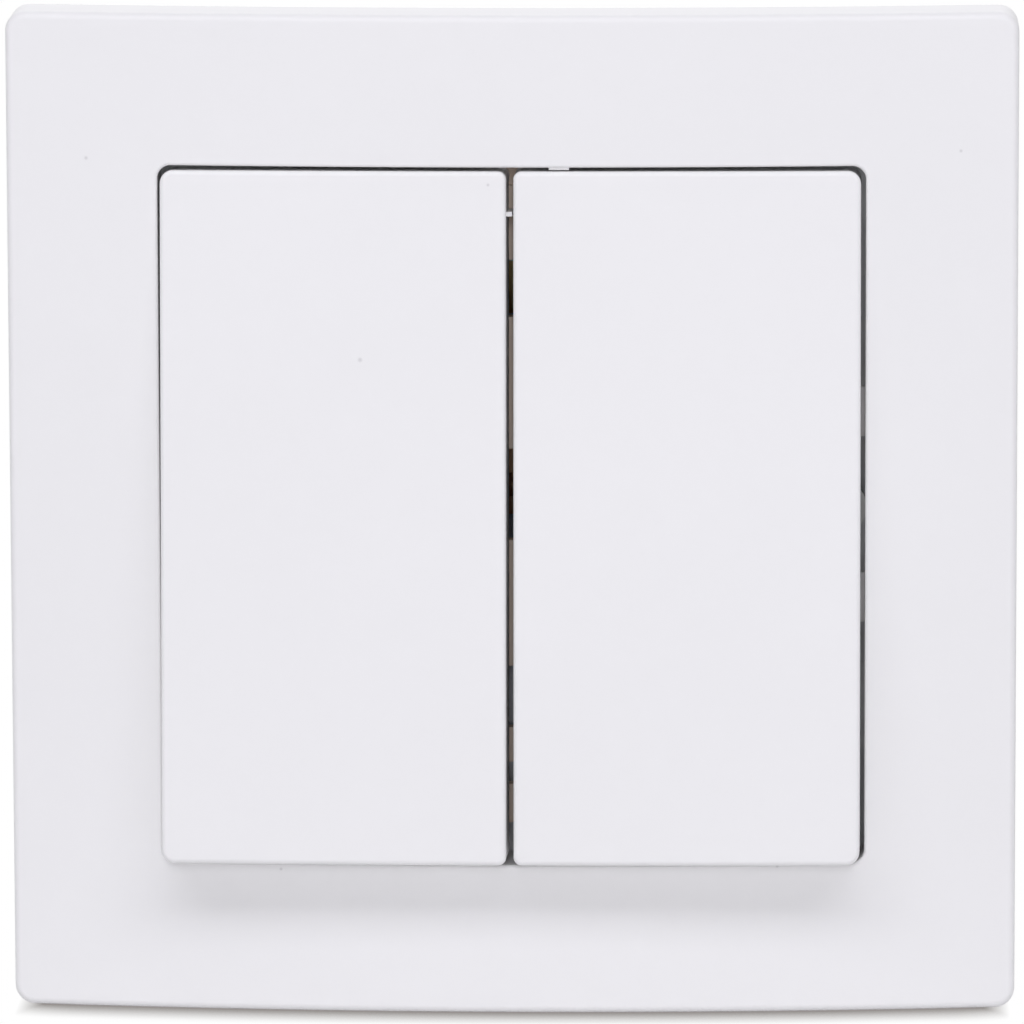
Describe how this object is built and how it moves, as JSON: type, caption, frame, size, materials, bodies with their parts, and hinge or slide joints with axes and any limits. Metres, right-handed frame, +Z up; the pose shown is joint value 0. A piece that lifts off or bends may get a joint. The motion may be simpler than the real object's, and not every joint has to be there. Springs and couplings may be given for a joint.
{
  "type": "rocker light switch",
  "caption": "Square flush wall light switch: arched white cover frame round tall side-by-side rockers, with hinge carrier, steel plate, contact levers, screw terminals and claws.",
  "frame": {"origin": "centre of the box screw pattern, in the plane of the house wall", "axes": "+X to the right as seen from the room, +Y into the wall, +Z up"},
  "size_m": [0.08, 0.03, 0.08],
  "materials": {
    "white_gloss": "smooth white moulding, soft gloss",
    "white_matte": "white moulding, plain",
    "grey_moulding": "light grey moulding, fine texture",
    "zinc_steel": "zinc plated sheet",
    "screw_steel": "bright plated",
    "spring_steel": "drawn wire",
    "brass": "turned and sawn",
    "copper_alloy": "stamped strip",
    "contact_silver": "silver alloy"
  },
  "bodies": {
    "housing": {"cover_frame": "white_gloss", "rocker_carrier": "white_matte", "support_plate": "zinc_steel", "switch_base": "grey_moulding", "carrier_screws": "screw_steel", "feed_strip": "copper_alloy", "left_load_strip": "copper_alloy", "right_load_strip": "copper_alloy", "fixed_contacts": "contact_silver", "feed_terminal": "brass", "left_terminal": "brass", "right_terminal": "brass", "terminal_screws": "screw_steel", "claw_pins": "screw_steel", "claw_screws": "screw_steel", "claw_nuts": "screw_steel"},
    "left_rocker_body": {"left_rocker": "white_gloss", "left_yoke": "white_matte", "left_spring": "spring_steel"},
    "left_plunger_body": {"left_plunger": "white_matte"},
    "left_lever_body": {"left_lever": "copper_alloy", "left_lever_contact": "contact_silver"},
    "left_claw_body": {"left_claw": "zinc_steel"},
    "right_rocker_body": {"right_rocker": "white_gloss", "right_yoke": "white_matte", "right_spring": "spring_steel"},
    "right_plunger_body": {"right_plunger": "white_matte"},
    "right_lever_body": {"right_lever": "copper_alloy", "right_lever_contact": "contact_silver"},
    "right_claw_body": {"right_claw": "zinc_steel"}
  },
  "joints": [
    {"name": "left_rocker_tilt", "type": "hinge", "parent": "housing", "child": "left_rocker_body", "pos_m": [0, -0.0071, 0], "axis": [1, 0, 0], "range_deg": [0, 8.6]},
    {"name": "left_plunger_travel", "type": "slide", "parent": "left_rocker_body", "child": "left_plunger_body", "axis": [0, -0.9972, 0.075], "range_m": [0, 0.0008], "stiffness_N_per_m": 1500, "springref_m": -0.001, "deforming": ["left_spring"]},
    {"name": "left_lever_rock", "type": "hinge", "parent": "housing", "child": "left_lever_body", "pos_m": [0, 0.00793, 0], "axis": [1, 0, 0], "range_deg": [-16, 0]},
    {"name": "left_claw_swing", "type": "hinge", "parent": "housing", "child": "left_claw_body", "pos_m": [-0.022, 0.0024, 0], "axis": [0, 0, 1], "range_deg": [0, 25]},
    {"name": "right_rocker_tilt", "type": "hinge", "parent": "housing", "child": "right_rocker_body", "pos_m": [0, -0.0071, 0], "axis": [1, 0, 0], "range_deg": [0, 8.6]},
    {"name": "right_plunger_travel", "type": "slide", "parent": "right_rocker_body", "child": "right_plunger_body", "axis": [0, -0.9972, 0.075], "range_m": [0, 0.0008], "stiffness_N_per_m": 1500, "springref_m": -0.001, "deforming": ["right_spring"]},
    {"name": "right_lever_rock", "type": "hinge", "parent": "housing", "child": "right_lever_body", "pos_m": [0, 0.00793, 0], "axis": [1, 0, 0], "range_deg": [-16, 0]},
    {"name": "right_claw_swing", "type": "hinge", "parent": "housing", "child": "right_claw_body", "pos_m": [0.022, 0.0024, 0], "axis": [0, 0, -1], "range_deg": [0, 25]}
  ],
  "couplings": [
    {"joint": "left_lever_rock", "follows": "left_rocker_tilt", "ratio": -1.8605},
    {"joint": "right_lever_rock", "follows": "right_rocker_tilt", "ratio": -1.8605}
  ]
}
